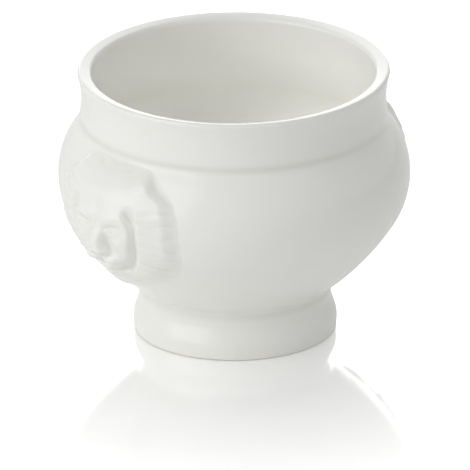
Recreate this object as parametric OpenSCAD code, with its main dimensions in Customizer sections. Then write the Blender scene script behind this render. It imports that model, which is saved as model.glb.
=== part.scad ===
// Soup bowl with two lion masks, in white glazed porcelain.
// A turned bowl with an upright collar stands on a hollow foot ring, and two moulded masks
// are luted to opposite sides of its belly. Millimetres, +Z up. The origin is the centre of
// the plane that the foot rests on, and the masks look along -X and +X.

/* [Bowl] */
// Widest diameter of the belly
belly_d = 120; // [114:1:132]
// Height from the foot ring to the widest place of the belly
under_h = 41; // [36:0.5:46]
// Height from there to the collar's crease
shoulder_h = 20.6; // [17:0.1:25]
// Radius of the belly's curve just under its widest place
belly_turn_r = 28; // [22:1:34]
// Radius of the flatter curve of the underside
under_r = 88; // [76:1:110]
// Thickness of the belly's wall
wall = 4.5; // [3:0.1:6]
// Thickness of the floor over the foot
floor_t = 5.5; // [4:0.1:8]
// Radius where the floor turns up into the wall
floor_round_r = 14; // [8:1:18]

/* [Collar and lip] */
// Height of the collar, from its crease to the rim
collar_h = 17; // [12:0.1:22]
// How far the collar's lower edge stands back from the widest belly
collar_inset = 7.35; // [5.5:0.05:9.5]
// Depth of the step under the collar's lower edge
collar_step = 0.5; // [0.3:0.1:1.5]
// Depth of the hollow sweep between that edge and the lip
collar_sweep = 0.9; // [0.2:0.1:1.6]
// Radius of the cove where the shoulder turns up to the collar
shoulder_cove_r = 4; // [2:0.5:8]
// Radius of the bend inside, where the collar opens into the belly
inner_shoulder_r = 34; // [24:1:40]
// How far the lip stands out past the collar's lower edge
lip_flare = 0.45; // [0.2:0.05:1.5]
// Thickness of the lip, which is a full round
lip_t = 4.4; // [3.4:0.1:6]

/* [Foot ring] */
// Height of the foot ring
foot_h = 15; // [10:0.5:18]
// Widest diameter of the foot, near its base
foot_d = 68.8; // [62:0.1:76]
// Height of that widest place
foot_swell_z = 4; // [2:0.5:7]
// How far the base draws in under the widest place
foot_base_inset = 0.4; // [0:0.1:1.5]
// How far the neck draws in above the widest place, where the foot meets the bowl
neck_inset = 1.7; // [0.5:0.1:4]
// Thickness of the ring at its base
foot_base_t = 5; // [3.5:0.1:7]
// Thickness of the ring at the neck
neck_t = 5.2; // [3.5:0.1:7]
// Radius on the edges of the base
foot_edge_r = 0.8; // [0.3:0.1:1.4]
// Radius of the cove where the bowl springs from the neck
neck_cove_r = 3; // [1:0.5:5]

/* [Lion masks] */
// Width of a mask, measured round the widest belly
mask_w = 63; // [54:1:68]
// Gap between the top of a mask and the collar's crease
mask_top_gap = 0.8; // [0.4:0.1:4]
// Height of the mane's lower edge above the foot ring
mask_rise = 14.2; // [12:0.1:18]
// How far the beard hangs below that edge
beard_drop = 3.8; // [2:0.1:5]
// Thickness of a mask at its edge
mask_edge_t = 0.4; // [0.2:0.1:1]
// Relief of the mane above the belly
mane_relief = 2.4; // [1.5:0.1:4]
// Relief of the cheeks above the mane
face_relief = 1.4; // [0.8:0.1:2.5]
// Relief of the forehead above the mane
forehead_relief = 2; // [1:0.1:3]
// Relief of the tip of the nose above the cheeks
nose_relief = 5; // [3:0.1:6]
// Spacing of the locks of the mane
lock_pitch = 5.5; // [4:0.1:8]
// Depth of the grooves between the locks
lock_depth = 0.5; // [0.2:0.05:1]
// Distance over which the inner wall of an ear falls away
ear_run = 2; // [1.5:0.1:4]
// Thickness of the bed of slip that a mask sits on
slip_t = 0.2; // [0.15:0.01:0.5]

/* [Hidden] */
$fn = 160;
glaze_colour = [0.93, 0.93, 0.91];

// Steps along the arcs of the turned outlines, and the mesh of a mask
arc_steps = 10;
mask_rings = 29;
mask_spokes = 100;
bed_rings = 6;

// Turned bowl: main radii and heights
belly_r = belly_d / 2;
collar_r = belly_r - collar_inset;
lip_r = collar_r + lip_flare;
mouth_r = lip_r - lip_t;
crease_r = collar_r - collar_step;
belly_z = foot_h + under_h;
crease_z = belly_z + shoulder_h;
bowl_h = crease_z + collar_h;
floor_z = foot_h + floor_t;

// Foot ring
foot_r = foot_d / 2;
foot_base_r = foot_r - foot_base_inset;
foot_inner_r = foot_base_r - foot_base_t;
neck_r = foot_r - neck_inset;
neck_inner_r = neck_r - neck_t;

// Shoulder: an arc level with the widest place, then a cove that ends upright at the crease
shoulder_run = belly_r - crease_r;
shoulder_reach = (shoulder_h * shoulder_h + shoulder_run * shoulder_run) / (2 * shoulder_run);
shoulder_r = shoulder_reach - shoulder_cove_r;
shoulder_x = belly_r - shoulder_r;
shoulder_turn = atan2(shoulder_h, shoulder_reach - shoulder_run);

// Underside: one arc that runs on from the belly's curve and ends in the cove at the neck
turn_mid = [belly_r - belly_turn_r, belly_z];
cove_mid = [neck_r + neck_cove_r, foot_h];
turn_reach = under_r - belly_turn_r;
cove_reach = under_r + neck_cove_r;
mids_gap = norm(cove_mid - turn_mid);
mids_way = (cove_mid - turn_mid) / mids_gap;
under_along = (turn_reach * turn_reach - cove_reach * cove_reach + mids_gap * mids_gap) / (2 * mids_gap);
under_aside = sqrt(turn_reach * turn_reach - under_along * under_along);
under_mid = turn_mid + under_along * mids_way + under_aside * [mids_way[1], -mids_way[0]];
belly_turn = atan2(under_mid[1] - turn_mid[1], turn_mid[0] - under_mid[0]);
neck_turn = atan2(under_mid[1] - cove_mid[1], cove_mid[0] - under_mid[0]);
turn_end_z = belly_z - belly_turn_r * sin(belly_turn);

// Inside: the same arcs set in by the wall, with a bend at the collar and one at the floor
inner_bend_x = mouth_r + inner_shoulder_r;
inner_bend_reach = shoulder_r - wall + inner_shoulder_r;
inner_bend_rise = sqrt(pow(inner_bend_reach, 2) - pow(inner_bend_x - shoulder_x, 2));
inner_bend_turn = atan2(inner_bend_rise, inner_bend_x - shoulder_x);
floor_bend_z = floor_z + floor_round_r;
floor_bend_reach = under_r - wall - floor_round_r;
floor_bend_x = under_mid[0] + sqrt(pow(floor_bend_reach, 2) - pow(under_mid[1] - floor_bend_z, 2));
floor_bend_turn = atan2(floor_bend_z - under_mid[1], floor_bend_x - under_mid[0]);

// Lip: how far its round wraps below the widest place
lip_wrap = 25;
lip_mid = [lip_r - lip_t / 2, bowl_h - lip_t / 2];
sweep_start = [collar_r, crease_z + collar_step];
sweep_end = lip_mid + lip_t / 2 * [cos(lip_wrap), -sin(lip_wrap)];

// Mask: its middle, half sizes, the power that squares its outline and the spread of its beard
mask_top_z = crease_z - mask_top_gap;
mask_bottom_z = foot_h + mask_rise;
mask_z = (mask_top_z + mask_bottom_z) / 2;
mask_half_h = (mask_top_z - mask_bottom_z) / 2;
mask_half_w = mask_w / 2;
outline_power = 3;
beard_spread = 24;

// Where the relief starts to fall to the edge: at the sides, and later at the top and the beard
fall_side_share = 0.73;
fall_top_share = 0.24;
fall_top_spread = 62;
fall_beard_share = 0.12;
fall_beard_spread = 26;

// Ear, a corner cut from the plate: place and lean of its inner wall, height and slope of its foot
ear_wall_shares = [0.654, 0.185];
ear_foot_shares = [1.13, 0.838];
ear_soft_share = 0.36;
ear_power = 1.3;

// Face: half width, nip at the temples, half heights above and below its middle, soft border
face_width_share = 0.4;
temple_shares = [0.318, 0.129, 0.07];
face_height_shares = [1.459, 0.712];
face_mid_share = 0.06;
face_soft_shares = [1.1, 0.9];
face_power = 2.6;

// Inner edge of the mane, which leaves a groove round the face, and how deep the groove goes
mane_width_share = 0.476;
mane_height_shares = [0.858, 0.79];
mane_soft_shares = [0.9, 1.05];
groove_share = 0.7;
mane_power = 2.8;

// Where forehead and beard close that groove, and where the forehead takes over from the cheeks
bridge_shares = [0.215, 0.498];
beard_shares = [-0.627, -0.798];
beard_lean_share = 0.108;
cheek_top_shares = [0.403, 0.146];

// Mane: thinner towards its outer edge and fuller beside the jaw
mane_thin_share = 0.167;
mane_thin_shares = [0.476, 0.73];
jowl_share = 0.333;
jowl_width_shares = [0.762, 0.476];
jowl_height_shares = [-0.24, -0.584];

// Locks: the point behind the face that they spread from, and where their spacing is measured
lock_heart_shares = [1.27, 0.06];
lock_mid_share = 0.635;
lock_foot_shares = [-0.97, -0.71];

// Swellings and hollows: across, up, spread across, spread up, squareness, height of the nose
swell_shares = [
    [0.178, 0.189, 0.146, 0.077, 1, 0.08],     // brow
    [0, 0.296, 0.051, 0.215, 1, -0.07],        // furrow between the brows
    [0.156, -0.223, 0.038, 0.129, 1, -0.14],   // hollow beside the nose
    [0.111, -0.335, 0.044, 0.052, 1, 0.14],    // wing of the nostril
    [0.063, -0.408, 0.038, 0.034, 1, -0.20],   // nostril
    [0.283, -0.172, 0.108, 0.18, 1, 0.24],     // cheek
    [0.127, -0.481, 0.133, 0.107, 1, 0.70],    // whisker pad
    [0, -0.481, 0.079, 0.103, 1, 0.18],        // upper lip
    [0, -0.489, 0.025, 0.086, 1, -0.24],       // cleft of the upper lip
    [0, -0.67, 0.146, 0.09, 1, 0.80],          // chin
    [0, -0.927, 0.238, 0.193, 1, 0.24],        // beard
];
forehead_shares = [0, 0.511, 0.508, 0.429, 1.5];

// Eyes slant up to the outside: place, slope, then the socket and the eyeball
eye_shares = [0.194, 0.006];
eye_slope_share = 0.216;
socket_shares = [0, 0, 0.133, 0.094, 1, -0.18];
eyeball_shares = [0, 0, 0.092, 0.054, 2, 0.15];

// Nose: its height at places up the face, its half width from tip to root, and its flat top
nose_shares = [[-0.446, 0], [-0.386, 0.48], [-0.318, 1], [-0.112, 0.56], [0.017, 0.14], [0.124, 0]];
nose_width_shares = [[-0.369, 0.127], [-0.283, 0.114], [-0.176, 0.086], [0.06, 0.067]];
nose_power = 5;

// Mouth: its height, rise towards the corners, half thickness, reach and depth
mouth_shares = [-0.597, 1.278, 0.032];
mouth_reach_shares = [0.27, 0.159];
mouth_depth_share = 0.32;

function ease(from, to, at) = let(t = max(0, min(1, (at - from) / (to - from)))) t * t * (3 - 2 * t);
function bell(at, spread) = exp(-pow(at / spread, 2));
function arc(mid, r, from, to) = [for (i = [0 : arc_steps])
    let(a = from + (to - from) * i / arc_steps) mid + r * [cos(a), sin(a)]];
function oval(across, up, power) = pow(pow(across, power) + pow(abs(up), power), 1 / power);
function swell(x, y, row) =
    exp(-pow(pow((x - row[0]) / row[2], 2) + pow((y - row[1]) / row[3], 2), row[4]));

// Outside radius of the belly at a height, from the underside to the crease
function belly_at(z) = z > belly_z ? shoulder_x + sqrt(pow(shoulder_r, 2) - pow(z - belly_z, 2))
    : z > turn_end_z ? turn_mid[0] + sqrt(pow(belly_turn_r, 2) - pow(belly_z - z, 2))
    : under_mid[0] + sqrt(pow(under_r, 2) - pow(under_mid[1] - z, 2));

// Relief of the mask above the belly; x and y are shares of its half width and half height
function from_down(x, y) = atan2(x * mask_half_w, -y * mask_half_h);
function outline_share(angle) = 1 + beard_drop / mask_half_h * bell(angle, beard_spread);
function off_middle(x, y) =
    oval(x, y / (y < 0 ? outline_share(from_down(x, y)) : 1), outline_power);
function fall(x, y) =
    let(angle = from_down(x, y))
    let(start = fall_side_share + fall_top_share * bell(180 - angle, fall_top_spread)
        + fall_beard_share * bell(angle, fall_beard_spread))
    1 - ease(start, 1, off_middle(x, y));
function ear_fall(x, y) =
    let(past_wall = (x - ear_wall_shares[0] + ear_wall_shares[1] * y) * mask_half_w)
    let(past_foot = (y - ear_foot_shares[0] + ear_foot_shares[1] * x) * mask_half_h)
    let(inside = past_wall + past_foot - norm([past_wall - past_foot, ear_soft_share * ear_run]))
    exp(-pow(max(0, inside / 2) / ear_run, ear_power));
function face_part(x, y) =
    let(width = face_width_share - temple_shares[2] * bell(y - temple_shares[0], temple_shares[1]))
    let(up = y - face_mid_share)
    ease(face_soft_shares[0], face_soft_shares[1],
        oval(x / width, up / face_height_shares[up > 0 ? 0 : 1], face_power));
function mane_part(x, y) =
    let(up = y - face_mid_share)
    ease(mane_soft_shares[0], mane_soft_shares[1],
        oval(x / mane_width_share, up / mane_height_shares[up > 0 ? 0 : 1], mane_power));
function plate_part(x, y) = 1 - groove_share * (1 - face_part(x, y)) * (1 - mane_part(x, y))
    * (1 - ease(bridge_shares[0], bridge_shares[1], y))
    * (1 - ease(beard_shares[0], beard_shares[1], y + beard_lean_share * x));
function mane_height(x, y) = mane_relief * (1
    - mane_thin_share * ease(mane_thin_shares[0], mane_thin_shares[1], x)
    + jowl_share * ease(jowl_height_shares[0], jowl_height_shares[1], y)
        * ease(jowl_width_shares[0], jowl_width_shares[1], x));
function lock_wave(x, y) =
    let(spread = (lock_mid_share + lock_heart_shares[0]) / (x + lock_heart_shares[0]))
    cos(360 * (y - lock_heart_shares[1]) * mask_half_h * spread / lock_pitch) / 2
    * mane_part(x, y) * ease(lock_foot_shares[0], lock_foot_shares[1], y);
function swell_sum(x, y, i = 0) = i == len(swell_shares) ? 0
    : swell_shares[i][5] * swell(x, y, swell_shares[i]) + swell_sum(x, y, i + 1);
function eye_part(x, y) =
    let(along = x - eye_shares[0])
    let(up = y - eye_shares[1] - eye_slope_share * along)
    socket_shares[5] * swell(along, up, socket_shares) + eyeball_shares[5] * swell(along, up, eyeball_shares);
function nose_part(x, y) = lookup(y, nose_shares) * exp(-pow(x / lookup(y, nose_width_shares), nose_power));
function mouth_part(x, y) = -mouth_depth_share
    * bell(y - mouth_shares[0] - mouth_shares[1] * x * x, mouth_shares[2])
    * ease(mouth_reach_shares[0], mouth_reach_shares[1], x);
function relief(x, y) = fall(x, y) * ear_fall(x, y) * (mane_height(x, y) * plate_part(x, y)
    + lock_depth * lock_wave(x, y)
    + face_relief * face_part(x, y) * ease(cheek_top_shares[0], cheek_top_shares[1], y)
    + forehead_relief * swell(x, y, forehead_shares)
    + nose_relief * (swell_sum(x, y) + eye_part(x, y) + nose_part(x, y) + mouth_part(x, y)));

// Place on the mask: share of the way from its middle to its edge, direction, and whether it is on
// the front or on the bed; the mask wraps round the bowl and looks along -X
function mask_reach(a) =
    let(low = sin(a) < 0 ? outline_share(atan2(abs(cos(a)), -sin(a))) : 1)
    1 / oval(abs(cos(a)) / mask_half_w, sin(a) / (mask_half_h * low), outline_power);
function mask_point(share, a, front) =
    let(u = share * mask_reach(a) * cos(a))
    let(v = share * mask_reach(a) * sin(a))
    let(raised = front ? max(mask_edge_t, relief(abs(u) / mask_half_w, v / mask_half_h) - slip_t) : 0)
    let(rho = belly_at(mask_z + v) + slip_t + raised)
    let(round_angle = u / belly_r * 180 / PI)
    [-rho * cos(round_angle), -rho * sin(round_angle), mask_z + v];

// Closed mesh: front rings from the middle to the edge, then bed rings from the edge back to the middle
mask_shares = concat([for (i = [1 : mask_rings]) i / mask_rings],
    [for (i = [bed_rings : -1 : 1]) i / bed_rings]);
mask_points = concat([mask_point(0, 0, true)],
    [for (i = [0 : len(mask_shares) - 1], j = [0 : mask_spokes - 1])
        mask_point(mask_shares[i], 360 * j / mask_spokes, i < mask_rings)],
    [mask_point(0, 0, false)]);
function ring_at(i, j) = 1 + i * mask_spokes + j % mask_spokes;
mask_faces = concat(
    [for (j = [0 : mask_spokes - 1]) [0, ring_at(0, j + 1), ring_at(0, j)]],
    [for (i = [0 : len(mask_shares) - 2], j = [0 : mask_spokes - 1], half = [0, 1])
        half == 0 ? [ring_at(i, j), ring_at(i, j + 1), ring_at(i + 1, j + 1)]
            : [ring_at(i, j), ring_at(i + 1, j + 1), ring_at(i + 1, j)]],
    [for (j = [0 : mask_spokes - 1])
        [len(mask_points) - 1, ring_at(len(mask_shares) - 1, j), ring_at(len(mask_shares) - 1, j + 1)]]);

// Outline of the bowl, up the outside, over the lip and down the inside
sweep_steps = 12;
sweep_points = [for (i = [1 : sweep_steps - 1])
    let(s = i / sweep_steps)
    sweep_start + s * (sweep_end - sweep_start) - [4 * collar_sweep * s * (1 - s), 0]];
bowl_outline = concat(
    [[0, foot_h]],
    arc(cove_mid, neck_cove_r, 180, 180 - neck_turn),
    arc(under_mid, under_r, -neck_turn, -belly_turn),
    arc(turn_mid, belly_turn_r, -belly_turn, 0),
    arc([shoulder_x, belly_z], shoulder_r, 0, shoulder_turn),
    arc([crease_r + shoulder_cove_r, crease_z], shoulder_cove_r, 180 + shoulder_turn, 180),
    arc([crease_r, crease_z + collar_step], collar_step, -90, 0),
    sweep_points,
    arc(lip_mid, lip_t / 2, -lip_wrap, 90),
    arc(lip_mid, lip_t / 2, 90, 180),
    arc([inner_bend_x, belly_z + inner_bend_rise], inner_shoulder_r, 180, 180 + inner_bend_turn),
    arc([shoulder_x, belly_z], shoulder_r - wall, inner_bend_turn, 0),
    arc(turn_mid, belly_turn_r - wall, 0, -belly_turn),
    arc(under_mid, under_r - wall, -belly_turn, floor_bend_turn),
    arc([floor_bend_x, floor_bend_z], floor_round_r, floor_bend_turn, -90),
    [[0, floor_z]]);

// Outline of the foot ring, from its base up the outside and down the inside
foot_steps = 12;
taper_share = 0.78;
swell_points = [for (i = [1 : foot_steps])
    let(s = i / foot_steps)
    [foot_base_r + (foot_r - foot_base_r) * (1 - pow(1 - s, 2)),
        foot_edge_r + (foot_swell_z - foot_edge_r) * s]];
taper_points = [for (i = [1 : foot_steps])
    let(s = i / foot_steps)
    [foot_r - neck_inset * ease(0, taper_share, s), foot_swell_z + (foot_h - foot_swell_z) * s]];
foot_outline = concat(
    arc([foot_base_r - foot_edge_r, foot_edge_r], foot_edge_r, -90, 0),
    swell_points,
    taper_points,
    [[neck_inner_r, foot_h]],
    arc([foot_inner_r + foot_edge_r, foot_edge_r], foot_edge_r, 180, 270));

// Neighbouring arcs share their end points, so each point is kept once
function joined(points) = [for (i = [0 : len(points) - 1])
    if (i == 0 || norm(points[i] - points[i - 1]) > foot_edge_r / 1000) points[i]];

module bowl() {
    color(glaze_colour) rotate_extrude() polygon(joined(bowl_outline));
}

module foot_ring() {
    color(glaze_colour) rotate_extrude() polygon(joined(foot_outline));
}

module lion_mask() {
    color(glaze_colour) polyhedron(mask_points, mask_faces);
}

module lion_mask_left() {
    lion_mask();
}

module lion_mask_right() {
    rotate([0, 0, 180]) lion_mask();
}

bowl();
foot_ring();
lion_mask_left();
lion_mask_right();
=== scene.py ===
import math

import bpy
import numpy as np
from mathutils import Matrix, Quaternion, Vector


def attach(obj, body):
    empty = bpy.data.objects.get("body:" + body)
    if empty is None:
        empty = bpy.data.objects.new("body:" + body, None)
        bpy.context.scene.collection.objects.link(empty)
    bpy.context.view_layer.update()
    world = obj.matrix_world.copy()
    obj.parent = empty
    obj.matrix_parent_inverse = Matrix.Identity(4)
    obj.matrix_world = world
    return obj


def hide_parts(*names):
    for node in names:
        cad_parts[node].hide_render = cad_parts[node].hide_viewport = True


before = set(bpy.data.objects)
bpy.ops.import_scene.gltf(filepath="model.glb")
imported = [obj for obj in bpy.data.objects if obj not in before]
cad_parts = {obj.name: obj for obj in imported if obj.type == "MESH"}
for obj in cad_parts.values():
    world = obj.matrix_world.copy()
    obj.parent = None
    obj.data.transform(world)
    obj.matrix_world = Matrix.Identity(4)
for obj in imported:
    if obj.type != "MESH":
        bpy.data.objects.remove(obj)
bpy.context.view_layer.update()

mm = 0.001
sharpAngle = 60.0  # degrees: edges that turn more, such as those of hidden joints, stay sharp


def hexToLinear(code):
    # sRGB hex to linear: each channel over 255, then the sRGB curve undone
    c = np.array([int(code[i:i + 2], 16) for i in (0, 2, 4)]) / 255
    lin = np.where(c <= 0.04045, c / 12.92, ((c + 0.055) / 1.055) ** 2.4)
    return (*lin.tolist(), 1.0)


def addNode(tree, kind, settings=None, inputs=None, links=None):
    # one node: its settings, the values of its sockets, and links from other nodes' outputs
    node = tree.nodes.new(kind)
    for key, value in (settings or {}).items():
        setattr(node, key, value)
    for key, value in (inputs or {}).items():
        node.inputs[key].default_value = value
    for key, (source, output) in (links or {}).items():
        tree.links.new(source.outputs[output], node.inputs[key])
    return node


def addNoise(tree, place, size, detail):
    # noise on object coordinates whose grains are about a size in mm
    return addNode(tree, "ShaderNodeTexNoise", {}, {"Scale": 1 / (size * mm), "Detail": detail},
                   {"Vector": (place, "Object")})


def addBump(tree, depth, links):
    # bump of a depth in mm
    return addNode(tree, "ShaderNodeBump", {}, {"Strength": 1.0, "Distance": depth * mm}, links)


def addRays(tree, path, kinds):
    # link that is 1 for rays of any of these kinds and otherwise 0
    seen = (path, kinds[0])
    for kind in kinds[1:]:
        both = addNode(tree, "ShaderNodeMath", {"operation": "ADD", "use_clamp": True}, {},
                       {0: seen, 1: (path, kind)})
        seen = (both, "Value")
    return seen


def newMaterial(name):
    # material whose node tree is empty
    mat = bpy.data.materials.new(name)
    mat.use_nodes = True
    mat.node_tree.nodes.clear()
    return mat, mat.node_tree


def smooth(low, high, x):
    # smooth step: 0 up to low, 1 past high, 3t^2 - 2t^3 between
    t = np.clip((x - low) / (high - low), 0, 1)
    return t * t * (3 - 2 * t)


def bell(x, height, spread):
    # bell: a height times exp of minus the squared distance from 0, counted in spreads
    return height * np.exp(-(x / spread) ** 2)


def swell(x, y, across, up, spreadX, spreadY, square=1.0):
    # bell over an oval: exp of minus the squared distance, counted in spreads, to a power
    d = ((x - across) / spreadX) ** 2 + ((y - up) / spreadY) ** 2
    return np.exp(-d ** square)


def swellings(x, y, table):
    # sum of such bells, each times its height
    return sum(height * swell(x, y, *place) for *place, height in table.values())


def crease(x, y, up, bend, width):
    # bell across a bent line, which lies lower to the sides by bend times the square of x
    return bell(y - up + bend * x * x, 1.0, width)


def oval(x, y, width, heights, power):
    # share of the way from the middle to the edge of a squarish oval, with its own height above and below
    height = np.where(y > 0, *heights)
    return ((x / width) ** power + (np.abs(y) / height) ** power) ** (1 / power)


def arcPoints(mid, radius, start, end, count):
    # circle arc: the middle plus radius times cosine and sine of evenly spaced angles
    a = np.radians(np.linspace(start, end, count))
    return np.column_stack([mid[0] + radius * np.cos(a), mid[1] + radius * np.sin(a)])


def gridFaces(rows, columns, closed=False):
    # quads between neighbouring rows of a grid; its columns close into a ring, and so do closed rows
    i, j = np.meshgrid(np.arange(rows if closed else rows - 1), np.arange(columns), indexing="ij")
    k, n = (j + 1) % columns, (i + 1) % rows
    quads = np.stack([i * columns + j, i * columns + k, n * columns + k, n * columns + j], -1)
    return quads.reshape(-1, 4)


def fanFaces(pole, start, columns):
    # triangles from a pole to a ring of points that starts at a number
    j = np.arange(columns)
    return np.column_stack([0 * j + pole, start + j, start + (j + 1) % columns])


def makePiece(name, points, faces, pooledShade, slots):
    # mesh from point and face arrays in mm, with how deep the glaze lies, which also sets the painted shade
    # of hollows, as a point attribute
    mesh = bpy.data.meshes.new(name)
    mesh.from_pydata((points * mm).tolist(), [], [f for part in faces for f in part.tolist()])
    mesh.shade_smooth()
    mesh.set_sharp_from_angle(angle=math.radians(sharpAngle))
    poolShade = mesh.attributes.new("glazePoolShade", "FLOAT", "POINT")
    poolShade.data.foreach_set("value", pooledShade.astype(np.float32))
    mesh.validate()
    piece = bpy.data.objects.new(name, mesh)
    bpy.context.scene.collection.objects.link(piece)
    for mat in slots:
        mesh.materials.append(mat)
    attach(piece, "root")
    return piece


def turned(name, profile, pooledShade, segments, slots):
    # surface of revolution: every profile point (radius, height) carried round the vertical axis; an
    # outline that starts and ends on the axis has one point there and a fan, any other closes on itself
    poles = profile[0, 0] == 0
    line, depth = (profile[1:-1], pooledShade[1:-1]) if poles else (profile, pooledShade)
    a = np.linspace(0, 2 * np.pi, segments, endpoint=False)
    r, z = line[:, :1], line[:, 1:]
    points = np.stack([r * np.cos(a), r * np.sin(a), z + 0 * a], -1).reshape(-1, 3)
    depth = np.repeat(depth, segments)
    faces = [gridFaces(len(line), segments, not poles)]
    if poles:
        count = len(points)
        points = np.vstack([points, [[0, 0, profile[0, 1]], [0, 0, profile[-1, 1]]]])
        depth = np.concatenate([depth, pooledShade[[0, -1]]])
        faces += [fanFaces(count, 0, segments)[:, ::-1], fanFaces(count + 1, count - segments, segments)]
    return makePiece(name, points, faces, depth, slots)


# glazed porcelain: a hard white body under a clear, slightly greenish glaze that lies level and
# glossy; it gathers in hollows, thins on edges, and shows a few pinholes and iron specks; where it
# gathers the colour is darker, partly the glaze's own tint and partly painted shade of the hollows
porcelainLook = {
    "body": "F8F8F4", "cloud": "F5F5F0", "pooledShade": "E8EAE2", "speck": "B9B2A4",
    "cloudSize": 26.0, "cloudDetail": 3.0,
    "speckSpacing": 15.0, "speckSize": 0.22, "speckShare": 0.16, "speckStrength": 0.7,
    "ior": 1.5, "glossLow": 0.13, "glossHigh": 0.21, "glossSize": 9.0, "glossDetail": 2.0,
    "patchLow": 0.3, "patchHigh": 0.7,  # the span of the noise that the gloss follows
    "waveSize": 24.0, "waveDepth": 0.05, "peelSize": 2.6, "peelDepth": 0.006, "levelDetail": 1.0,
}


def porcelainMaterial(look):
    mat, tree = newMaterial("glazedPorcelain")
    place = addNode(tree, "ShaderNodeTexCoord")
    cloud = addNoise(tree, place, look["cloudSize"], look["cloudDetail"])
    body = addNode(tree, "ShaderNodeMix", {"data_type": "RGBA"},
                   {"A": hexToLinear(look["body"]), "B": hexToLinear(look["cloud"])},
                   {"Factor": (cloud, "Fac")})
    # where the glaze lies deep the colour turns darker and greener: partly the thick glaze's own tint,
    # partly painted shade in hollows and creases
    poolShade = addNode(tree, "ShaderNodeAttribute", {"attribute_name": "glazePoolShade"})
    glaze = addNode(tree, "ShaderNodeMix", {"data_type": "RGBA"}, {"B": hexToLinear(look["pooledShade"])},
                    {"Factor": (poolShade, "Fac"), "A": (body, "Result")})
    # specks: the cores of a few cells of a Voronoi pattern, picked by the cells' own random colour
    cells = addNode(tree, "ShaderNodeTexVoronoi", {}, {"Scale": 1 / (look["speckSpacing"] * mm)},
                    {"Vector": (place, "Object")})
    rim = look["speckSize"] / look["speckSpacing"]
    core = addNode(tree, "ShaderNodeMapRange", {},
                   {"From Min": rim / 2, "From Max": rim, "To Min": look["speckStrength"], "To Max": 0.0},
                   {"Value": (cells, "Distance")})
    pick = addNode(tree, "ShaderNodeSeparateColor", {}, {}, {"Color": (cells, "Color")})
    few = addNode(tree, "ShaderNodeMath", {"operation": "LESS_THAN"}, {1: look["speckShare"]},
                  {0: (pick, "Red")})
    dot = addNode(tree, "ShaderNodeMath", {"operation": "MULTIPLY"}, {},
                  {0: (core, "Result"), 1: (few, "Value")})
    colour = addNode(tree, "ShaderNodeMix", {"data_type": "RGBA"}, {"B": hexToLinear(look["speck"])},
                     {"Factor": (dot, "Value"), "A": (glaze, "Result")})
    patch = addNoise(tree, place, look["glossSize"], look["glossDetail"])
    gloss = addNode(tree, "ShaderNodeMapRange", {},
                    {"From Min": look["patchLow"], "From Max": look["patchHigh"],
                     "To Min": look["glossLow"], "To Max": look["glossHigh"]},
                    {"Value": (patch, "Fac")})
    # the level of the glaze: a slow wave from the wheel and the dip, and a fine peel
    wave = addNoise(tree, place, look["waveSize"], look["levelDetail"])
    peel = addNoise(tree, place, look["peelSize"], look["levelDetail"])
    slow = addBump(tree, look["waveDepth"], {"Height": (wave, "Fac")})
    fine = addBump(tree, look["peelDepth"], {"Height": (peel, "Fac"), "Normal": (slow, "Normal")})
    shader = addNode(tree, "ShaderNodeBsdfPrincipled", {}, {"IOR": look["ior"]},
                     {"Base Color": (colour, "Result"), "Roughness": (gloss, "Result"),
                      "Normal": (fine, "Normal")})
    addNode(tree, "ShaderNodeOutputMaterial", {}, {}, {"Surface": (shader, "BSDF")})
    return mat


# biscuit porcelain: the foot's resting edge, wiped clean of glaze before firing, so it is dry,
# matt and a little creamier than the glaze, with a fine grit
biscuitLook = {
    "body": "E9E5DB", "grit": "DDD7CA", "gritSize": 0.7, "gritDetail": 4.0, "gritDepth": 0.02,
    "roughness": 0.7, "ior": 1.5,
}


def biscuitMaterial(look):
    mat, tree = newMaterial("biscuitPorcelain")
    place = addNode(tree, "ShaderNodeTexCoord")
    grit = addNoise(tree, place, look["gritSize"], look["gritDetail"])
    colour = addNode(tree, "ShaderNodeMix", {"data_type": "RGBA"},
                     {"A": hexToLinear(look["body"]), "B": hexToLinear(look["grit"])},
                     {"Factor": (grit, "Fac")})
    bump = addBump(tree, look["gritDepth"], {"Height": (grit, "Fac")})
    shader = addNode(tree, "ShaderNodeBsdfPrincipled", {},
                     {"IOR": look["ior"], "Roughness": look["roughness"]},
                     {"Base Color": (colour, "Result"), "Normal": (bump, "Normal")})
    addNode(tree, "ShaderNodeOutputMaterial", {}, {}, {"Surface": (shader, "BSDF")})
    return mat


porcelain = porcelainMaterial(porcelainLook)
biscuit = biscuitMaterial(biscuitLook)
print("materials ready")

# turned bowl: sizes in mm and angles in degrees, close to those of the solids; the glaze rounds the
# crease under the collar and gathers there and at the neck, where its darker colour also paints the
# shade of the crease and the neck
bowlForm = {
    "footHeight": 15.0, "neckRadius": 32.7, "neckCove": 3.0, "seatWidth": 5.0,
    "bellyRadius": 59.98, "underHeight": 41.0, "shoulderHeight": 20.6, "bellyTurn": 28.0,
    "underRadius": 88.0, "wall": 4.5, "floor": 5.5, "floorRound": 14.0, "floorFlat": 12.0, "axisStep": 1.0,
    "collarHeight": 17.0, "collarInset": 7.35, "collarStep": 0.5, "collarSweep": 0.9,
    "shoulderCove": 4.0, "innerShoulder": 34.0, "mouthDepth": 6.0,
    "lipFlare": 0.6, "lipThickness": 4.4, "lipWrap": 16.0, "lipCorner": 1.05, "lipDrop": 0.05,
    "lipSlope": 11.8, "slopeRun": 2.4, "edgeRound": 1.45,
    "softSpread": 1.3, "softReach": 6.0, "softCore": 0.4, "softPoints": 161,
    # how far and how strongly the glaze gathers at the crease and the neck; its darker colour there is
    # partly painted shade
    "poolShadeReach": 1.3, "creasePoolShade": 0.8, "neckPoolShade": 0.6,
    "segments": 324,
    "steps": {  # points along each part of the outline
        "cove": 9, "under": 34, "belly": 18, "shoulder": 24, "crease": 8, "step": 5, "sweep": 26, "lip": 16,
        "edge": 14, "bend": 16, "innerShoulder": 22, "innerBelly": 14, "innerUnder": 18, "floor": 14,
    },
}


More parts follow.
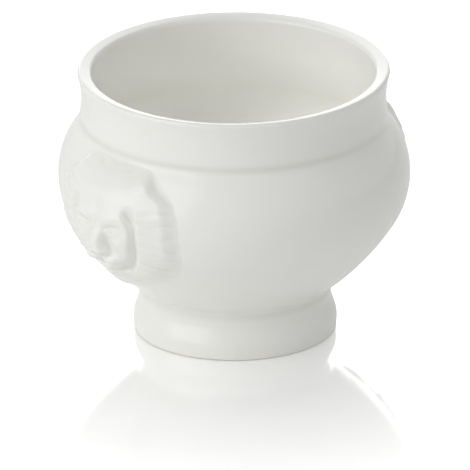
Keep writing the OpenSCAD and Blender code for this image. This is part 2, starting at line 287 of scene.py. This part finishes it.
def bowlArcs(form):
    # the radii, middles and turns that the outline and the belly's radius both need; the underside's
    # middle is where circles round the middles of the belly's curve and of the neck's cove cross
    f = dict(form)
    f["bellyHeight"] = f["footHeight"] + f["underHeight"]
    f["creaseHeight"] = f["bellyHeight"] + f["shoulderHeight"]
    f["rimHeight"] = f["creaseHeight"] + f["collarHeight"]
    f["collarRadius"] = f["bellyRadius"] - f["collarInset"]
    f["creaseRadius"] = f["collarRadius"] - f["collarStep"]
    f["lipRadius"] = f["collarRadius"] + f["lipFlare"]
    f["mouthRadius"] = f["lipRadius"] - f["lipThickness"]
    run, rise = f["bellyRadius"] - f["creaseRadius"], f["shoulderHeight"]
    reach = (rise ** 2 + run ** 2) / (2 * run)
    f["shoulderRadius"] = reach - f["shoulderCove"]
    f["shoulderMid"] = np.array([f["bellyRadius"] - f["shoulderRadius"], f["bellyHeight"]])
    f["shoulderTurn"] = math.degrees(math.atan2(rise, reach - run))
    f["turnMid"] = np.array([f["bellyRadius"] - f["bellyTurn"], f["bellyHeight"]])
    f["coveMid"] = np.array([f["neckRadius"] + f["neckCove"], f["footHeight"]])
    gap = f["coveMid"] - f["turnMid"]
    far = np.linalg.norm(gap)
    way = gap / far
    turnReach, coveReach = f["underRadius"] - f["bellyTurn"], f["underRadius"] + f["neckCove"]
    along = (turnReach ** 2 - coveReach ** 2 + far ** 2) / (2 * far)
    aside = math.sqrt(turnReach ** 2 - along ** 2)
    f["underMid"] = f["turnMid"] + along * way + aside * np.array([way[1], -way[0]])
    low, neck = f["turnMid"] - f["underMid"], f["coveMid"] - f["underMid"]
    f["bellyAngle"] = math.degrees(math.atan2(-low[1], low[0]))
    f["neckAngle"] = math.degrees(math.atan2(-neck[1], neck[0]))
    f["turnEnd"] = f["bellyHeight"] - f["bellyTurn"] * math.sin(math.radians(f["bellyAngle"]))
    return f


def arcRadiusAt(mid, radius, z):
    # distance from the axis to the outer side of a circle at a height
    return mid[0] + np.sqrt(np.maximum(radius ** 2 - (z - mid[1]) ** 2, 0))


def bellyRadiusAt(f, z):
    # outside radius at a height: the shoulder's circle, the belly's curve or the underside's arc
    shoulder = arcRadiusAt(f["shoulderMid"], f["shoulderRadius"], z)
    turn = arcRadiusAt(f["turnMid"], f["bellyTurn"], z)
    under = arcRadiusAt(f["underMid"], f["underRadius"], z)
    return np.where(z > f["bellyHeight"], shoulder, np.where(z > f["turnEnd"], turn, under))


def bowlProfile(f):
    # outline up the outside, over the lip and down the inside, as tangent arcs
    n, wall, rim, creaseZ = f["steps"], f["wall"], f["rimHeight"], f["creaseHeight"]
    # the lip: a small round outside, a flat slope down to the mouth, and a wider round inside
    corner, slope = f["lipCorner"], 90 + f["lipSlope"]
    lipMid = np.array([f["lipRadius"] - corner, rim - f["lipDrop"] - corner])
    upward = np.array([math.cos(math.radians(slope)), math.sin(math.radians(slope))])
    slopeEnd = lipMid + corner * upward + f["slopeRun"] * np.array([-upward[1], upward[0]])
    edgeMid = slopeEnd - f["edgeRound"] * upward
    # the collar's outside: a straight line drawn in by a parabola
    wrap = math.radians(f["lipWrap"])
    sweepStart = np.array([f["collarRadius"], creaseZ + f["collarStep"]])
    sweepEnd = lipMid + corner * np.array([math.cos(wrap), -math.sin(wrap)])
    s = np.linspace(0, 1, n["sweep"])[1:-1, None]
    drawnIn = np.array([1, 0]) * 4 * f["collarSweep"] * s * (1 - s)
    sweep = sweepStart + s * (sweepEnd - sweepStart) - drawnIn
    # the inside: a bend from the mouth to the shoulder, and a round from the underside to the floor
    bendX = f["mouthRadius"] + f["innerShoulder"]
    bendReach = f["shoulderRadius"] - wall + f["innerShoulder"]
    bendRise = math.sqrt(bendReach ** 2 - (bendX - f["shoulderMid"][0]) ** 2)
    bendTurn = math.degrees(math.atan2(bendRise, bendX - f["shoulderMid"][0]))
    floorHeight = f["footHeight"] + f["floor"]
    floorZ = floorHeight + f["floorRound"]
    floorReach = f["underRadius"] - wall - f["floorRound"]
    floorX = f["underMid"][0] + math.sqrt(floorReach ** 2 - (f["underMid"][1] - floorZ) ** 2)
    floorTurn = math.degrees(math.atan2(floorZ - f["underMid"][1], floorX - f["underMid"][0]))
    seatEdge = f["neckRadius"] - f["seatWidth"]
    return np.vstack([
        [[0.0, f["footHeight"]], [f["axisStep"], f["footHeight"]], [seatEdge, f["footHeight"]]],
        arcPoints(f["coveMid"], f["neckCove"], 180, 180 - f["neckAngle"], n["cove"]),
        arcPoints(f["underMid"], f["underRadius"], -f["neckAngle"], -f["bellyAngle"], n["under"])[1:],
        arcPoints(f["turnMid"], f["bellyTurn"], -f["bellyAngle"], 0, n["belly"])[1:],
        arcPoints(f["shoulderMid"], f["shoulderRadius"], 0, f["shoulderTurn"], n["shoulder"])[1:],
        arcPoints([f["creaseRadius"] + f["shoulderCove"], creaseZ], f["shoulderCove"],
                  180 + f["shoulderTurn"], 180, n["crease"])[1:],
        arcPoints([f["creaseRadius"], creaseZ + f["collarStep"]], f["collarStep"], -90, 0, n["step"])[1:],
        sweep,
        arcPoints(lipMid, corner, -f["lipWrap"], slope, n["lip"]),
        arcPoints(edgeMid, f["edgeRound"], slope, 180, n["edge"]),
        [[f["mouthRadius"], rim - f["mouthDepth"]]],
        arcPoints([bendX, f["bellyHeight"] + bendRise], f["innerShoulder"], 180, 180 + bendTurn, n["bend"]),
        arcPoints(f["shoulderMid"], f["shoulderRadius"] - wall, bendTurn, 0, n["innerShoulder"])[1:],
        arcPoints(f["turnMid"], f["bellyTurn"] - wall, 0, -f["bellyAngle"], n["innerBelly"])[1:],
        arcPoints(f["underMid"], f["underRadius"] - wall, -f["bellyAngle"], floorTurn, n["innerUnder"])[1:],
        arcPoints([floorX, floorZ], f["floorRound"], floorTurn, -90, n["floor"])[1:],
        [[f["floorFlat"], floorHeight], [f["axisStep"], floorHeight], [0.0, floorHeight]],
    ])


def distanceFrom(line, corner):
    # distance of each point of an outline from a corner
    return np.hypot(line[:, 0] - corner[0], line[:, 1] - corner[1])


def softened(line, corner, f):
    # glaze fills a corner: along the outline near it, evenly spaced points are replaced by the mean
    # of their neighbours under a bell, fading back to the outline at the ends of the reach
    reach = f["softReach"]
    length = np.concatenate([[0], np.cumsum(np.hypot(*np.diff(line, axis=0).T))])
    at = length[np.argmin(distanceFrom(line, corner))]
    s = np.linspace(at - 2 * reach, at + 2 * reach, f["softPoints"])
    even = np.column_stack([np.interp(s, length, line[:, 0]), np.interp(s, length, line[:, 1])])
    weight = bell(s[:, None] - s[None, :], 1.0, f["softSpread"])
    mean = weight @ even / weight.sum(1, keepdims=True)
    share = smooth(reach, f["softCore"] * reach, np.abs(s - at))[:, None]
    near = np.abs(s - at) <= reach
    soft = (even + share * (mean - even))[near]
    return np.vstack([line[length < at - reach], soft, line[length > at + reach]])


bowl = bowlArcs(bowlForm)
creaseCorner = (bowl["creaseRadius"], bowl["creaseHeight"])
neckCorner = (bowl["neckRadius"], bowl["footHeight"])
bowlLine = softened(bowlProfile(bowl), creaseCorner, bowl)
# the glaze gathering at the crease and the neck: a darker colour that is partly its own tint and partly
# painted shade of these corners
bowlPoolShade = (bell(distanceFrom(bowlLine, creaseCorner), bowl["creasePoolShade"], bowl["poolShadeReach"])
            + bell(distanceFrom(bowlLine, neckCorner), bowl["neckPoolShade"], bowl["poolShadeReach"]))
bowlPiece = turned("turned_bowl", bowlLine, bowlPoolShade, bowl["segments"], [porcelain])
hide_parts("bowl")
print("bowl turned,", len(bowlLine), "points in its outline")

# foot ring: swells near its base, draws in to the neck, and stands on a wiped, rounded edge
footForm = {
    "height": 15.0, "swellRadius": 34.7, "swellHeight": 4.0, "baseInset": 0.25, "neckInset": 2.0,
    "taperShare": 0.78, "baseThickness": 5.0, "neckThickness": 5.2, "edge": 0.8, "wipedHeight": 0.35,
    "neckPoolShade": 0.6, "poolShadeReach": 1.3, "segments": 320,
    "steps": {"edge": 8, "swell": 14, "neck": 26, "inside": 12},  # points along each part of the outline
}


def footProfile(f):
    # outline from the resting face up the outside and down the inside: quarter rounds at the base,
    # a parabola up to the swell, and a smooth step in to the neck
    n = f["steps"]
    base, neck = f["swellRadius"] - f["baseInset"], f["swellRadius"] - f["neckInset"]
    inner, innerNeck = base - f["baseThickness"], neck - f["neckThickness"]
    s = np.linspace(0, 1, n["swell"])[1:]
    swellLine = np.column_stack([base + f["baseInset"] * (1 - (1 - s) ** 2),
                                 f["edge"] + (f["swellHeight"] - f["edge"]) * s])
    s = np.linspace(0, 1, n["neck"])[1:]
    neckLine = np.column_stack([neck + f["neckInset"] * (1 - smooth(0, f["taperShare"], s)),
                                f["swellHeight"] + (f["height"] - f["swellHeight"]) * s])
    s = np.linspace(0, 1, n["inside"])[:, None]
    inside = np.array([innerNeck, f["height"]]) * (1 - s) + np.array([inner, f["edge"]]) * s
    return np.vstack([
        arcPoints([base - f["edge"], f["edge"]], f["edge"], -90, 0, n["edge"]),
        swellLine,
        neckLine,
        inside[:-1],
        arcPoints([inner + f["edge"], f["edge"]], f["edge"], 180, 270, n["edge"]),
    ])


footLine = footProfile(footForm)
# the glaze gathers under the neck: a darker colour that is partly its own tint and partly painted shade
# where the foot meets the bowl
footPoolShade = bell(footLine[:, 1] - footForm["height"], footForm["neckPoolShade"], footForm["poolShadeReach"])
footPiece = turned("foot_ring_glazed", footLine, footPoolShade, footForm["segments"], [porcelain, biscuit])
faceMiddles = np.zeros(len(footPiece.data.polygons) * 3)
footPiece.data.polygons.foreach_get("center", faceMiddles)
wiped = (faceMiddles[2::3] < footForm["wipedHeight"] * mm).astype(np.int32)
footPiece.data.polygons.foreach_set("material_index", wiped)
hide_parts("foot_ring")
print("foot ring turned")

# lion mask, mm: across counts from its middle line and up from its middle height; a pair whose name
# ends in Up, Across, Edge or End is where a smooth step starts and where it is full
lionForm = {
    "middleHeight": 52.5, "halfWidth": 31.3, "halfHeight": 23.3, "power": 3.0, "widening": 0.1,
    "sheetWidth": 33.0, "beardDrop": 3.8, "beardSpread": 24.0, "rings": 170, "spokes": 420,
    # the glaze gathers in the carving: the depth for its full darker colour, which is partly painted shade,
    # and where that colour fades at the outline
    "glazeReach": 0.7, "glazeShare": 0.7, "glazeTurns": 8, "poolShadeDepth": 0.45, "poolShadeEdge": (0.98, 0.88),
    # edge of the plate: it falls from a share of the way out, which the crown and the beard change by
    # a share over a spread in degrees
    "fallStart": 0.72, "crownHold": (0.22, 65.0), "crownFall": (0.17, 30.0), "beardHold": (0.13, 26.0),
    "fallPower": 1.3, "sink": 0.1, "sinkEdge": (0.9, 1.0),
    # ears: an inner wall and a lower edge, both leaning, and the fall past them
    "earWall": 26.6, "earWallLean": 0.55, "earBase": 15.9, "earBaseLean": 0.52, "earBaseAcross": 17.0,
    "earBlend": 0.9, "earDrop": 1.4, "earDropPower": 1.6, "earDropShare": 0.78, "earRun": 5.6,
    # plate: ovals of the face and of the mane's inner edge, with half heights above and below
    "faceMiddle": 1.4, "faceWidth": 13.2, "faceWaist": 2.8, "waistHeight": 7.6, "waistSpread": 3.4,
    "faceHeights": (34.0, 16.6), "facePower": 2.6, "faceEdge": (1.10, 0.90),
    "maneWidth": 15.0, "maneHeights": (20.0, 18.4), "manePower": 2.8, "maneEdge": (0.90, 1.05),
    "bridgeUp": (5.0, 11.6), "beardUp": (-14.6, -18.6), "beardLean": 0.08, "grooveShare": 0.7,
    "mane": 2.9, "maneThin": 0.6, "maneThinAcross": (15.0, 23.0),
    "crownThin": 1.4, "crownThinUp": (13.0, 21.0), "crownThinAcross": (18.0, 11.0),
    "jowl": 0.8, "jowlUp": (-5.6, -13.6), "jowlAcross": (24.0, 15.0),
    "cheekLevel": 0.9, "cheekUp": (9.4, 3.4),
    # locks and strands: shares are for the upper mane and what the lower mane adds
    "lockFan": 60.0, "lockBehind": 40.0, "lockSway": 0.35, "swayAcross": 0.55, "swayRise": 0.5,
    "swayShift": 0.8, "lockPitch": 4.1, "lockShift": 0.5, "lockPower": 0.7, "lockMean": 0.7,
    "lockDepth": 0.3, "lockShares": (0.55, 0.25), "lockFray": 0.035,
    "strandPitch": 1.8, "strandBend": 0.6, "bendRate": 0.4, "strandDrift": 0.5, "driftRate": 1.3,
    "strandMean": 0.6, "strandDepth": 0.29, "strandShares": (0.25, 0.75),
    "maneTopUp": (1.2, -1.6), "maneFootUp": (-22.6, -16.6), "lowerManeUp": (-1.6, -9.6),
    # swellings and hollows: across, up, spread across, spread up, squareness, height
    "swellings": {
        "forehead": (0, 11.9, 16, 10, 1.5, 1.5),
        "earRim": (15.4, 17.0, 3.2, 4.4, 1, 0.35),
        "brow": (5.0, 5.0, 3.4, 2.0, 1, 0.55),
        "furrow": (0, 6.4, 1.5, 5, 1, -0.6),
        "besideNose": (4.9, -4.8, 1.2, 2.6, 1, -0.6),
        "noseWing": (3.6, -8.0, 1.3, 1.2, 1, 0.8),
        "nostril": (2.3, -9.5, 1.0, 0.8, 1, -1.7),
        "cheek": (8.6, -4.2, 3.6, 3.8, 1, 1.1),
        "whiskerPad": (4.3, -11.3, 4.1, 2.6, 1.2, 3.6),
        "lipCleft": (0, -11.6, 0.8, 2.4, 1, -1.0),
        "chin": (0, -16.0, 4.4, 2.2, 1, 3.4),
        "beard": (0, -20.6, 7.0, 4.5, 1, 1.7),
    },
    # the same for an eye, counted from its middle
    "eyeSwellings": {
        "socket": (0, 0, 4.0, 2.1, 1, -1.0),
        "eyeball": (0, -0.1, 2.4, 1.15, 1.6, 0.9),
        "pupil": (-0.4, 0.1, 0.75, 0.75, 1, -0.5),
    },
    "eyePlace": (6.1, -0.1), "eyeSlope": 0.2, "lidSize": (3.2, 1.6), "lidHeight": 0.3, "lidWidth": 0.2,
    # creases: up, bend and width of each line, and its depth
    "foldLine": (2.1, 0.03, 0.5), "foldDepth": 0.45, "foldOuterEnd": (10.4, 8.6), "foldInnerEnd": (1.6, 3.2),
    "mouthLine": (-13.5, 0.022, 0.7), "mouthDepth": 1.5, "mouthEnd": (7.6, 5.0),
    "nosePadLine": (-6.3, 0.09, 0.5), "nosePadDepth": 0.45, "nosePadEnd": (4.2, 3.0),
    # nose: heights and half widths at some levels
    "noseUp": (-10.4, -9.0, -7.4, -2.6, 0.4, 2.9), "noseHeight": (0, 2.5, 5.3, 3.2, 0.8, 0),
    "noseWidthUp": (-9.6, -8.2, -6.4, -4.1, 1.4), "noseHalfWidth": (3.2, 4.3, 3.6, 2.7, 2.1),
    "noseSquare": 5,
    "whiskerRows": (-10.2, -11.5, -12.7), "whiskerPlaces": (3.4, 5.0, 6.6), "whiskerLean": 0.2,
    "whiskerSize": 0.4, "whiskerDepth": 0.4,
    "tuftPitch": 3.4, "tuftLean": 0.25, "tuftMean": 0.6, "tuftDepth": 0.08,
    "tuftUp": (15.5, 19.5), "tuftAcross": (17.0, 13.0),
}


def lowerHalfHeight(f, angle):
    # half height below the middle: longer by the beard, as a bell round straight down
    return f["halfHeight"] + bell(angle, f["beardDrop"], f["beardSpread"])


def lionRelief(f, u, v):
    # height above the belly: a plate that falls away at its outline, cut by the ears and by a groove
    # round the face, plus bells for each feature, a flat-topped nose, and waves for the locks
    a = np.abs(u)
    angle = np.degrees(np.arctan2(a, -v + 1e-9))  # from straight down
    wide = f["halfWidth"] - f["widening"] * v  # wider below
    out = oval(a, v, wide, (f["halfHeight"], lowerHalfHeight(f, angle)), f["power"])
    start = f["fallStart"] + bell(180 - angle, *f["crownHold"]) + bell(angle, *f["beardHold"])
    start = start - bell(180 - angle, *f["crownFall"])

    # ear: past its inner wall and above the mane, whichever is less, the plate drops steeply and then
    # runs out to the belly
    pastWall = a - (f["earWall"] - f["earWallLean"] * v)
    aboveMane = v - (f["earBase"] - f["earBaseLean"] * (a - f["earBaseAcross"]))
    less = 0.5 * (pastWall + aboveMane - np.hypot(pastWall - aboveMane, f["earBlend"]))
    inEar = np.maximum(less, 0)
    steep = np.exp(-(inEar / f["earDrop"]) ** f["earDropPower"])
    ear = f["earDropShare"] * steep + bell(inEar, 1 - f["earDropShare"], f["earRun"])

    # plate: face, mane, forehead and beard; what none of them covers is the groove
    up = v - f["faceMiddle"]
    faceWidth = f["faceWidth"] - bell(v - f["waistHeight"], f["faceWaist"], f["waistSpread"])
    face = smooth(*f["faceEdge"], oval(a, up, faceWidth, f["faceHeights"], f["facePower"]))
    outer = smooth(*f["maneEdge"], oval(a, up, f["maneWidth"], f["maneHeights"], f["manePower"]))
    bridge = smooth(*f["bridgeUp"], v)
    beard = smooth(*f["beardUp"], v + f["beardLean"] * a)
    plate = 1 - f["grooveShare"] * (1 - face) * (1 - outer) * (1 - bridge) * (1 - beard)

    # locks spread from a point behind the face, so they run nearly level and droop towards the foot
    sway = f["lockSway"] * np.sin(a * f["swayAcross"] + v * f["swayRise"] + f["swayShift"])
    s = up * f["lockFan"] / (a + f["lockBehind"]) + sway
    lock = np.abs(np.sin(np.pi * (s + f["lockShift"]) / f["lockPitch"])) ** f["lockPower"]
    bent = f["strandBend"] * np.sin(a * f["bendRate"]) + f["strandDrift"] * np.sin(s * f["driftRate"])
    strand = np.abs(np.sin(np.pi * s / f["strandPitch"] + bent))
    mane = outer * smooth(*f["maneTopUp"], aboveMane) * smooth(*f["maneFootUp"], v)
    low = smooth(*f["lowerManeUp"], v)
    frayed = out * (1 + f["lockFray"] * (1 - lock) * mane)
    fall = (1 - smooth(start, 1.0, frayed)) ** f["fallPower"] * ear

    h = (f["mane"] - f["maneThin"] * smooth(*f["maneThinAcross"], a)) * plate
    h = h - f["crownThin"] * smooth(*f["crownThinUp"], v) * smooth(*f["crownThinAcross"], a)
    h = h + f["jowl"] * smooth(*f["jowlUp"], v) * smooth(*f["jowlAcross"], a) * plate
    lockShare, strandShare = [high + more * low for high, more in (f["lockShares"], f["strandShares"])]
    h = h + mane * (lockShare * f["lockDepth"] * (lock - f["lockMean"])
                    + strandShare * f["strandDepth"] * (strand - f["strandMean"]))
    h = h + f["cheekLevel"] * face * smooth(*f["cheekUp"], v)
    h = h + swellings(a, v, f["swellings"])

    # eyes slant up to the outside: socket, eyeball and pupil, rim of the lids, and the fold above them
    along = a - f["eyePlace"][0]
    level = v - f["eyePlace"][1] - f["eyeSlope"] * along
    h = h + swellings(along, level, f["eyeSwellings"])
    lid = np.hypot(along / f["lidSize"][0], level / f["lidSize"][1])
    h = h + bell(lid - 1, f["lidHeight"], f["lidWidth"])
    foldEnds = smooth(*f["foldOuterEnd"], a) * smooth(*f["foldInnerEnd"], a)
    h = h - f["foldDepth"] * crease(along, level, *f["foldLine"]) * foldEnds

    # nose: a flat-topped ridge that widens to its pad
    noseWidth = np.interp(v, f["noseWidthUp"], f["noseHalfWidth"])
    h = h + np.interp(v, f["noseUp"], f["noseHeight"]) * np.exp(-(a / noseWidth) ** f["noseSquare"])
    # mouth, upper edge of the nose pad, and rows of whisker dots
    h = h - f["mouthDepth"] * crease(a, v, *f["mouthLine"]) * smooth(*f["mouthEnd"], a)
    h = h - f["nosePadDepth"] * crease(a, v, *f["nosePadLine"]) * smooth(*f["nosePadEnd"], a)
    for row in f["whiskerRows"]:
        for place in f["whiskerPlaces"]:
            across = place + f["whiskerLean"] * (row - f["whiskerRows"][1])
            h = h - f["whiskerDepth"] * swell(a, v, across, row, f["whiskerSize"], f["whiskerSize"])

    # short tufts along the hairline
    tuft = np.abs(np.sin(np.pi * (a + f["tuftLean"] * v) / f["tuftPitch"])) - f["tuftMean"]
    h = h + f["tuftDepth"] * tuft * smooth(*f["tuftUp"], v) * smooth(*f["tuftAcross"], a)
    return h * fall - f["sink"] * smooth(*f["sinkEdge"], out)


def lionMask(f, belly, name, node, turn):
    # polar grid on the unrolled belly, from the middle out to the outline, wrapped round the bowl; the
    # relief is added to the belly's radius
    t = np.linspace(0, 1, f["rings"] + 1)[1:, None]
    phi = np.linspace(0, 2 * np.pi, f["spokes"], endpoint=False)[None, :]
    c, s = np.cos(phi), np.sin(phi)
    heights = (f["halfHeight"], lowerHalfHeight(f, np.degrees(np.arctan2(np.abs(c), -s))))
    reach = 1 / oval(np.abs(c), s, f["sheetWidth"], heights, f["power"])
    u = np.concatenate([[0.0], (t * reach * c).ravel()])
    v = np.concatenate([[0.0], (t * reach * s).ravel()])
    raw = lionRelief(f, u, v)
    # the glaze evens out the carving: part of each height is the mean of a ring round it, and it
    # gathers where the carving lies under that mean, where its darker colour is partly its own tint and
    # partly painted shade of the carving's hollows and grooves
    turns = np.arange(f["glazeTurns"]) * 2 * np.pi / f["glazeTurns"]
    ring = sum(lionRelief(f, u + f["glazeReach"] * np.cos(q), v + f["glazeReach"] * np.sin(q))
               for q in turns) / f["glazeTurns"]
    h = raw + f["glazeShare"] * (ring - raw)
    inside = np.concatenate([[1.0], (smooth(*f["poolShadeEdge"], t) + 0 * phi).ravel()])
    pooledShade = np.clip((ring - raw) / f["poolShadeDepth"], 0, 1) * inside
    z = f["middleHeight"] + v
    rho = bellyRadiusAt(belly, z) + h
    theta = u / belly["bellyRadius"] + turn
    points = np.column_stack([-rho * np.cos(theta), -rho * np.sin(theta), z])
    sheet = gridFaces(f["rings"], f["spokes"])[:, ::-1] + 1
    mask = makePiece(name, points, [fanFaces(0, 1, f["spokes"]), sheet], pooledShade, [porcelain])
    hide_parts(node)


lionMask(lionForm, bowl, "lion_mask_carved_left", "lion_mask_left", 0.0)
lionMask(lionForm, bowl, "lion_mask_carved_right", "lion_mask_right", math.pi)
print("lion masks modelled")

# floor: a polished white acrylic sheet, bright to the camera, that keeps a soft shadow and a faint
# reflection near the foot; its size is in metres, the drop and the fade in mm
floorLook = {
    "size": 14.0, "drop": 0.02, "sheet": "F4F4F4", "glow": 0.06, "lift": 0.5, "glossLift": 0.08,
    "mirror": 0.62, "mirrorEdge": 0.05, "fadeStart": 30.0, "fadeEnd": 215.0,
}


def floorMaterial(look):
    mat, tree = newMaterial("polishedAcrylicSheet")
    path = addNode(tree, "ShaderNodeLightPath")
    seen = addRays(tree, path, ("Is Camera Ray", "Is Transmission Ray"))
    # besides its white to the camera, the sheet glows faintly to every ray and a little more to reflections:
    # painted light that lights the bowl from below like a lamp and brightens the floor seen in the glaze
    glossed = addNode(tree, "ShaderNodeMath", {"operation": "MULTIPLY_ADD"},
                      {1: look["glossLift"], 2: look["glow"]}, {0: (path, "Is Glossy Ray")})
    lift = addNode(tree, "ShaderNodeMath", {"operation": "MULTIPLY_ADD"}, {1: look["lift"]},
                   {0: seen, 2: (glossed, "Value")})
    matt = addNode(tree, "ShaderNodeBsdfDiffuse", {}, {"Color": hexToLinear(look["sheet"])})
    glow = addNode(tree, "ShaderNodeEmission", {}, {}, {"Strength": (lift, "Value")})
    sheet = addNode(tree, "ShaderNodeAddShader", {}, {}, {0: (matt, "BSDF"), 1: (glow, "Emission")})
    # the reflection fades with the distance from the middle, and only the camera sees it
    place = addNode(tree, "ShaderNodeTexCoord")
    far = addNode(tree, "ShaderNodeVectorMath", {"operation": "LENGTH"}, {}, {0: (place, "Object")})
    share = addNode(tree, "ShaderNodeMapRange", {"interpolation_type": "SMOOTHSTEP"},
                    {"From Min": look["fadeStart"] * mm, "From Max": look["fadeEnd"] * mm,
                     "To Min": look["mirror"], "To Max": 0.0},
                    {"Value": (far, "Value")})
    shown = addNode(tree, "ShaderNodeMath", {"operation": "MULTIPLY"}, {},
                    {0: (share, "Result"), 1: (path, "Is Camera Ray")})
    mirror = addNode(tree, "ShaderNodeBsdfGlossy", {}, {"Roughness": look["mirrorEdge"]})
    mixed = addNode(tree, "ShaderNodeMixShader", {}, {},
                    {0: (shown, "Value"), 1: (sheet, "Shader"), 2: (mirror, "BSDF")})
    addNode(tree, "ShaderNodeOutputMaterial", {}, {}, {"Surface": (mixed, "Shader")})
    return mat


half, floorZ = floorLook["size"] / 2, -floorLook["drop"] * mm
corners = [(-half, -half, floorZ), (half, -half, floorZ), (half, half, floorZ), (-half, half, floorZ)]
floorMesh = bpy.data.meshes.new("floor")
floorMesh.from_pydata(corners, [], [(0, 1, 2, 3)])
floor = bpy.data.objects.new("floor", floorMesh)
bpy.context.scene.collection.objects.link(floor)
floorMesh.materials.append(floorMaterial(floorLook))

# studio: an even white surround, a large soft lamp at the left a little above the bowl, a weak one over
# it, a lit panel behind that shows in the lip, and a lamp with a snoot that shines only into the mouth;
# azimuth 0 is towards -Y and 90 towards +X; distances, sizes and the bulb in metres, the beam in mm
studio = {
    "surround": 0.47,
    "softLamp": {"azimuth": -98.0, "elevation": 21.0, "distance": 1.5, "size": (1.4, 1.4), "power": 8.3},
    "topLamp": {"azimuth": -92.0, "elevation": 58.0, "distance": 1.5, "size": (0.7, 0.7), "power": 1.35},
    "backLamp": {"azimuth": 137.0, "elevation": 22.0, "distance": 1.5, "size": (1.15, 1.2), "power": 5.8},
    "mouthLamp": {"azimuth": -92.0, "elevation": 58.0, "distance": 1.5, "bulb": 0.012, "power": 68.0,
                  "beam": 80.0, "blend": 1.0},
}


def studioWorld(surround):
    # white to the camera, in reflections and through glass, and a lower, even level as light
    world = bpy.data.worlds.new("studio")
    world.use_nodes = True
    tree = world.node_tree
    tree.nodes.clear()
    path = addNode(tree, "ShaderNodeLightPath")
    seen = addRays(tree, path, ("Is Camera Ray", "Is Glossy Ray", "Is Transmission Ray"))
    level = addNode(tree, "ShaderNodeMapRange", {}, {"To Min": surround, "To Max": 1.0}, {"Value": seen})
    sky = addNode(tree, "ShaderNodeBackground", {}, {"Color": (1, 1, 1, 1)}, {"Strength": (level, "Result")})
    addNode(tree, "ShaderNodeOutputWorld", {}, {}, {"Surface": (sky, "Background")})
    return world


def direction(azimuth, elevation):
    # unit vector from the bowl towards an azimuth and elevation
    a, e = math.radians(azimuth), math.radians(elevation)
    return Vector((math.sin(a) * math.cos(e), -math.cos(a) * math.cos(e), math.sin(e)))


def addLamp(name, setting, target):
    # a soft box where a size is given, otherwise a spot lamp with the beam's width at its target
    data = bpy.data.lights.new(name, "AREA" if "size" in setting else "SPOT")
    data.energy = setting["power"]
    if "size" in setting:
        data.shape = "RECTANGLE"
        data.size, data.size_y = setting["size"]
    else:
        data.shadow_soft_size = setting["bulb"]
        data.spot_size = 2 * math.atan(setting["beam"] / 2 * mm / setting["distance"])
        data.spot_blend = setting["blend"]
    lamp = bpy.data.objects.new(name, data)
    lamp.visible_glossy = "size" in setting  # a snoot hides its bulb
    bpy.context.scene.collection.objects.link(lamp)
    away = direction(setting["azimuth"], setting["elevation"])
    lamp.location = target + away * setting["distance"]
    lamp.rotation_euler = away.to_track_quat("Z", "Y").to_euler()


bpy.context.scene.world = studioWorld(studio["surround"])
for lampName in ("softLamp", "topLamp", "backLamp"):
    addLamp(lampName, studio[lampName], Vector((0, 0, 0)))
addLamp("mouthLamp", studio["mouthLamp"], Vector((0, 0, bowl["rimHeight"] * mm)))

# camera: parallel view, framed so that the foot's middle falls on its pixel of the photograph, which
# hangs a little off level; a pixel in mm, the distance in metres
shot = {
    "azimuth": -43.0, "elevation": 21.5, "roll": -0.34, "distance": 2.0,
    "pixel": 0.3405, "image": 470, "axisX": 234.6, "baseY": 324.0,
}
camData = bpy.data.cameras.new("camera")
camData.type = "ORTHO"
camData.ortho_scale = shot["pixel"] * shot["image"] * mm
camera = bpy.data.objects.new("camera", camData)
bpy.context.scene.collection.objects.link(camera)
back = direction(shot["azimuth"], shot["elevation"])
right = Vector((0, 0, 1)).cross(back).normalized()
above = back.cross(right)
middle = shot["image"] / 2
aim = (right * (middle - shot["axisX"]) + above * (shot["baseY"] - middle)) * shot["pixel"] * mm
camera.location = aim + back * shot["distance"]
roll = Quaternion((0, 0, 1), math.radians(shot["roll"]))
camera.rotation_euler = (back.to_track_quat("Z", "Y") @ roll).to_euler()
bpy.context.scene.camera = camera
bpy.context.scene.view_settings.view_transform = "Standard"
print("floor, lamps and camera placed")
